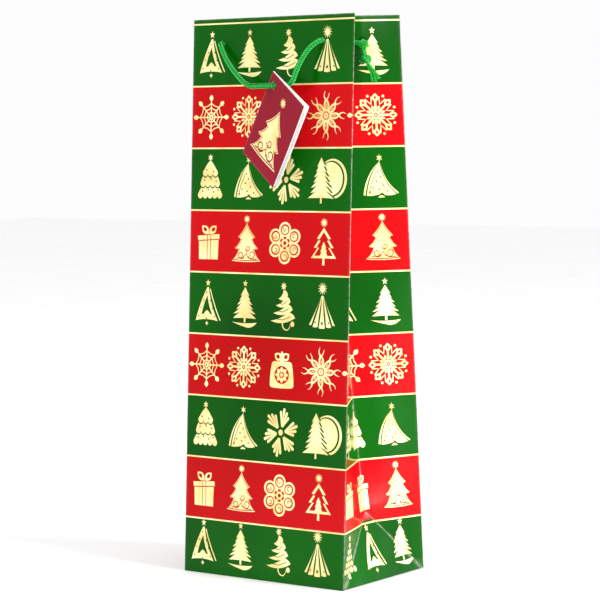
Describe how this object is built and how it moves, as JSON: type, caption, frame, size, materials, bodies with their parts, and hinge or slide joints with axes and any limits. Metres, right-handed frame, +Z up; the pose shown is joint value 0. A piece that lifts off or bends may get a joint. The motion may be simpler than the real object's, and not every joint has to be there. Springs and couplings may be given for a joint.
{
  "type": "wine gift bag",
  "caption": "Tall paper gift bag for one wine bottle, with folded-in side gussets, braided cord handles, knotted cord ends and a folded gift tag.",
  "frame": {"origin": "centre of the base, on the surface it stands on", "axes": "+Z up, the front panel with the tag faces -Y, +X to the right seen from the front"},
  "size_m": [0.127, 0.0947, 0.3554],
  "materials": {
    "printed_paper": "gloss laminated paper, printed in green and red bands",
    "red_print": "gloss laminated paper, red print",
    "gold_foil": "pale gold hot-stamped foil on the paper",
    "plain_paper": "white uncoated back of the paper",
    "grey_board": "raw grey board",
    "green_cord": "braided bright green polyester cord",
    "tag_card": "gloss card printed crimson, with white edges"
  },
  "bodies": {
    "base": {"right_gusset_front": "printed_paper", "right_gusset_rear": "printed_paper", "left_gusset_front": "printed_paper", "left_gusset_rear": "printed_paper", "right_gusset_front_turn_in": "plain_paper", "right_gusset_rear_turn_in": "plain_paper", "left_gusset_front_turn_in": "plain_paper", "left_gusset_rear_turn_in": "plain_paper", "right_gusset_triangle": "printed_paper", "left_gusset_triangle": "printed_paper", "base_front_flap": "plain_paper", "base_rear_flap": "plain_paper", "base_right_flap": "plain_paper", "base_left_flap": "plain_paper", "base_board": "grey_board"},
    "front_wall": {"front_panel": "printed_paper", "front_board": "grey_board", "front_turn_in": "plain_paper", "front_cord_end_left": "green_cord", "front_cord_end_right": "green_cord"},
    "back_wall": {"back_panel": "printed_paper", "back_board": "grey_board", "back_turn_in": "plain_paper", "side_seam_tab": "plain_paper", "back_cord_end_left": "green_cord", "back_cord_end_right": "green_cord"},
    "front_handle": {"front_handle_cord": "green_cord"},
    "tag": {"tag_back_leaf": "tag_card", "tag_cord": "green_cord"},
    "tag_leaf": {"tag_front_leaf": "tag_card"},
    "back_handle": {"back_handle_cord": "green_cord"}
  },
  "joints": [
    {"name": "front_wall_lean", "type": "hinge", "parent": "base", "child": "front_wall", "pos_m": [0, -0.0445, 0], "axis": [1, 0, 0], "range_deg": [-0.6, 2], "deforming": ["right_gusset_front", "right_gusset_front_turn_in", "left_gusset_front", "left_gusset_front_turn_in"]},
    {"name": "back_wall_lean", "type": "hinge", "parent": "base", "child": "back_wall", "pos_m": [0, 0.0445, 0], "axis": [-1, 0, 0], "range_deg": [-0.6, 2], "deforming": ["right_gusset_rear", "right_gusset_rear_turn_in", "left_gusset_rear", "left_gusset_rear_turn_in"]},
    {"name": "front_handle_swing", "type": "hinge", "parent": "front_wall", "child": "front_handle", "pos_m": [0, -0.0278, 0.3396], "axis": [-1, 0, 0], "range_deg": [0, 135]},
    {"name": "tag_swing", "type": "hinge", "parent": "front_handle", "child": "tag", "pos_m": [0, -0.0375, 0.312], "axis": [-1, 0, 0], "range_deg": [-135, 0]},
    {"name": "tag_open", "type": "hinge", "parent": "tag", "child": "tag_leaf", "pos_m": [-0.02042, -0.03031, 0.27061], "axis": [-0.5277, 0.1414, -0.8376], "range_deg": [-3, 12]},
    {"name": "back_handle_swing", "type": "hinge", "parent": "back_wall", "child": "back_handle", "pos_m": [0, 0.0278, 0.3396], "axis": [1, 0, 0], "range_deg": [0, 150]}
  ],
  "couplings": [
    {"joint": "back_wall_lean", "follows": "front_wall_lean", "ratio": 1},
    {"joint": "tag_swing", "follows": "front_handle_swing", "ratio": -1}
  ]
}
